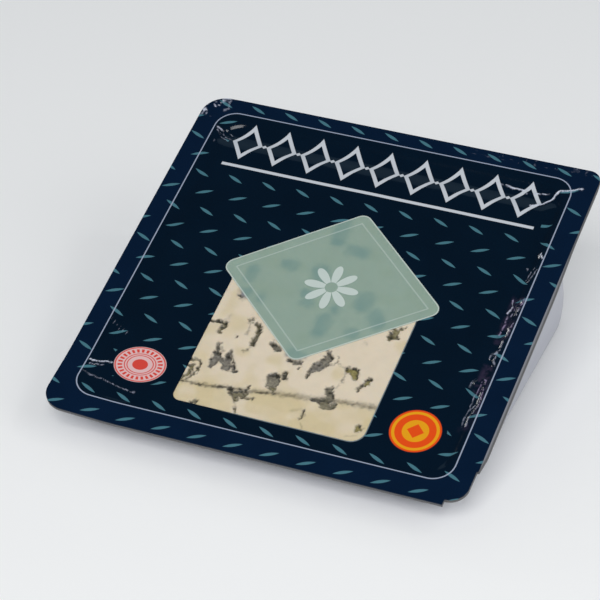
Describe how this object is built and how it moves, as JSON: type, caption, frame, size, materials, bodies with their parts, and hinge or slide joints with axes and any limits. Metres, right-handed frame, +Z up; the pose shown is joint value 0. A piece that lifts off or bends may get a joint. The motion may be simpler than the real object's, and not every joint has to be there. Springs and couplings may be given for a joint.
{
  "type": "sealed pack of blue cheese",
  "caption": "Shallow-to-deep plastic tray sealed with a printed film lid, holding a wedge of blue cheese that shows through a clear window.",
  "frame": {"origin": "middle of the pack's outline on the level face it lies on, the tray's sloping back", "axes": "+Z up; +X to the pack's right, along its width; +Y from the thin end to the deep end; the lid rises 17 degrees toward +Y"},
  "size_m": [0.13, 0.1256, 0.0469],
  "materials": {
    "tray_plastic": "semi-gloss formed sheet, cool white",
    "blue_cheese": "moist cream paste with blue-grey mould pockets and needle tracks",
    "navy_print": "glossy film, reverse printed dark navy with small teal lens shapes",
    "clear_film": "clear glossy film pressed onto the cheese",
    "mint_print": "glossy film with a slightly see-through mint print"
  },
  "bodies": {
    "root": {"tray": "tray_plastic", "cheese_wedge": "blue_cheese", "lid_film": "navy_print", "lid_window": "clear_film", "lid_diamond": "mint_print"}
  },
  "joints": []
}
